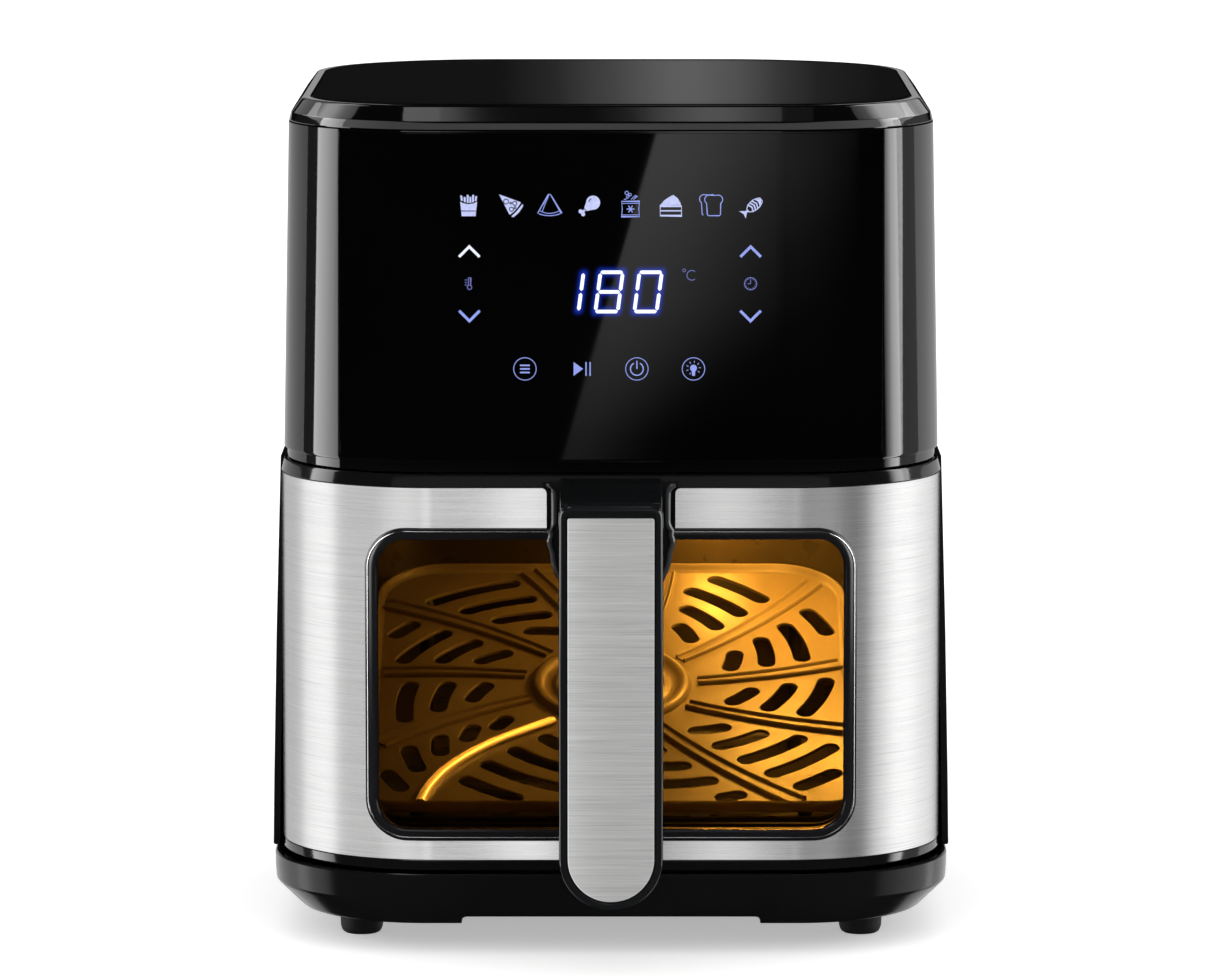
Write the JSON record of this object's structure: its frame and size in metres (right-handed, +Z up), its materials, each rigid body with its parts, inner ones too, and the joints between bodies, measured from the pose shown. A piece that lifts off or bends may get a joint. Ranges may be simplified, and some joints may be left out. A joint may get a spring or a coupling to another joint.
{
  "type": "air fryer",
  "caption": "Countertop air fryer: black housing with touch panel and hot-air fan, sliding steel-fronted drawer with window, handle, pan and crisper plate.",
  "frame": {"origin": "centre of the bounding box at its bottom, on the surface that the feet rest on", "axes": "+Z up, -Y out of the front towards the person, +X to the right as seen from the front"},
  "size_m": [0.272, 0.334, 0.336],
  "materials": {
    "panel_gloss": "high gloss black",
    "housing_gloss": "gloss black",
    "housing_satin": "satin black, fine texture",
    "trim_gloss": "gloss black trim",
    "steel_brushed": "horizontally brushed",
    "handle_satin": "satin black",
    "rubber_black": "matt",
    "window_glass": "clear, warm tint",
    "inner_glass": "clear",
    "silicone_dark": "matt",
    "pan_coated": "glossy non-stick coat",
    "plate_coated": "non-stick coat",
    "sheet_steel": "galvanised",
    "liner_steel": "bright sheet",
    "element_tube": "heat-tinted",
    "wire_chrome": "bright",
    "screw_steel": "zinc",
    "motor_steel": "lacquered laminations",
    "shaft_steel": "ground",
    "fan_aluminium": "mill finish",
    "fan_plastic": "moulded",
    "board_green": "solder mask",
    "board_tan": "phenolic",
    "component_mix": "moulded",
    "display_grey": "moulded",
    "pad_spring": "plated",
    "natural_nylon": "natural",
    "ceramic_white": "glazed",
    "bulb_glass": "warm",
    "switch_dark": "moulded",
    "plunger_red": "moulded"
  },
  "bodies": {
    "housing": {"base_tray": "housing_satin", "feet": "rubber_black", "base_screws": "screw_steel", "lower_housing": "housing_satin", "upper_housing": "housing_gloss", "front_bulkhead": "sheet_steel", "control_panel": "panel_gloss", "top_cap": "housing_gloss", "top_plate": "panel_gloss", "cavity_liner": "liner_steel", "guide_rails": "liner_steel", "heat_shield": "liner_steel", "separator_plate": "sheet_steel", "heating_element": "element_tube", "element_clips": "sheet_steel", "element_guard": "wire_chrome", "motor": "motor_steel", "motor_bracket": "sheet_steel", "motor_screws": "screw_steel", "board_carrier": "display_grey", "display_board": "board_green", "display_module": "display_grey", "touch_pads": "pad_spring", "power_board": "board_tan", "board_standoffs": "natural_nylon", "power_components": "component_mix", "temperature_probe": "wire_chrome", "thermal_cutout": "sheet_steel", "lamp_holder": "ceramic_white", "lamp_bulb": "bulb_glass", "lamp_cover": "inner_glass", "door_switch": "switch_dark", "switch_bracket": "sheet_steel", "exhaust_duct": "sheet_steel", "rear_vent_cover": "housing_satin", "rear_screws": "screw_steel", "cord_gland": "rubber_black", "terminal_block": "natural_nylon"},
    "drawer": {"drawer_shell": "trim_gloss", "steel_cladding": "steel_brushed", "window_frame": "trim_gloss", "window_glass": "window_glass", "window_gasket": "silicone_dark", "window_retainer": "housing_satin", "inner_panel": "housing_satin", "handle_shield": "trim_gloss", "handle_neck": "handle_satin", "handle_back": "handle_satin", "handle_front": "handle_satin", "handle_insert": "steel_brushed", "drawer_screws": "screw_steel", "pan": "pan_coated", "pan_glass": "inner_glass", "pan_glass_seal": "silicone_dark"},
    "crisper": {"crisper_plate": "plate_coated", "plate_legs": "silicone_dark"},
    "rotor": {"motor_shaft": "shaft_steel", "hot_fan": "fan_aluminium", "cooling_fan": "fan_plastic"},
    "plunger": {"switch_plunger": "plunger_red"}
  },
  "joints": [
    {"name": "drawer_slide", "type": "slide", "parent": "housing", "child": "drawer", "axis": [0, -1, 0], "range_m": [0, 0.2]},
    {"name": "crisper_lift", "type": "slide", "parent": "drawer", "child": "crisper", "axis": [0, 0, 1], "range_m": [0, 0.05]},
    {"name": "fan_spin", "type": "hinge", "parent": "housing", "child": "rotor", "pos_m": [0, 0.046, 0.21], "axis": [0, 0, 1], "continuous": true},
    {"name": "switch_press", "type": "slide", "parent": "housing", "child": "plunger", "axis": [0, 1, 0], "range_m": [0, 0.0015], "stiffness_N_per_m": 200, "springref_m": -0.0025}
  ]
}
